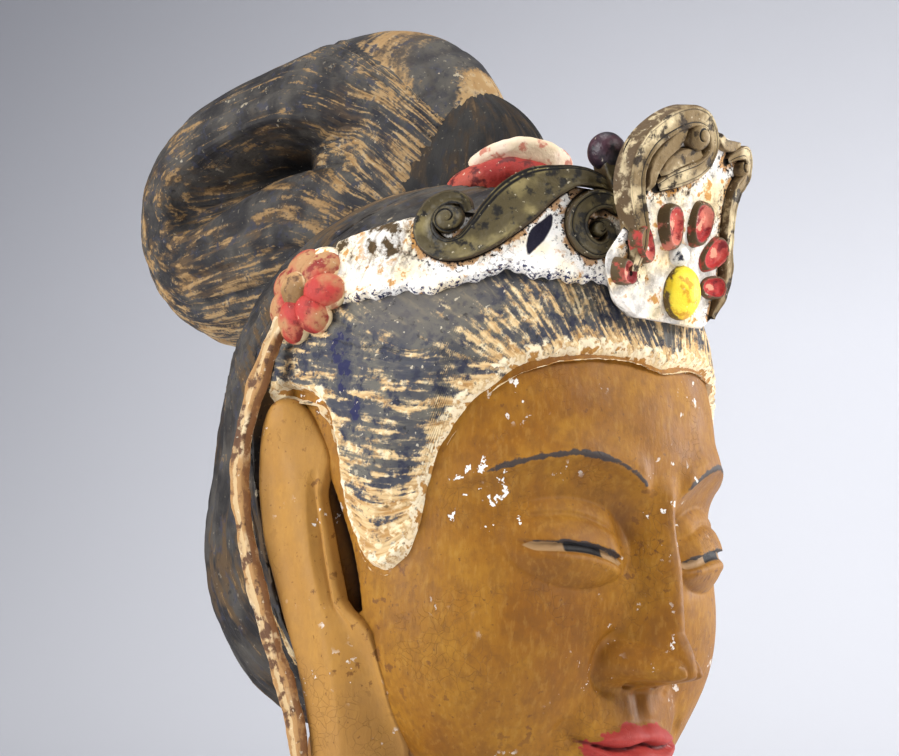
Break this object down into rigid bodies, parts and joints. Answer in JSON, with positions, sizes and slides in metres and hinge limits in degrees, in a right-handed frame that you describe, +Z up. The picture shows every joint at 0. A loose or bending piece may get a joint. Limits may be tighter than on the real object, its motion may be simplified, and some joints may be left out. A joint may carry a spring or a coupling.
{
  "type": "bodhisattva statue",
  "caption": "Painted stucco bust of a bodhisattva with long ears, a looped topknot and a scrolled diadem, cut flat below to stand.",
  "frame": {"origin": "middle of the flat underside, below the neck", "axes": "+Z up, -Y the way the shoulders and the face look, -X the figure's right side"},
  "size_m": [0.2424, 0.259, 0.3792],
  "materials": {
    "painted_stucco": "worn matt paint over unfired clay"
  },
  "bodies": {
    "root": {"bodhisattva_bust": "painted_stucco"}
  },
  "joints": []
}
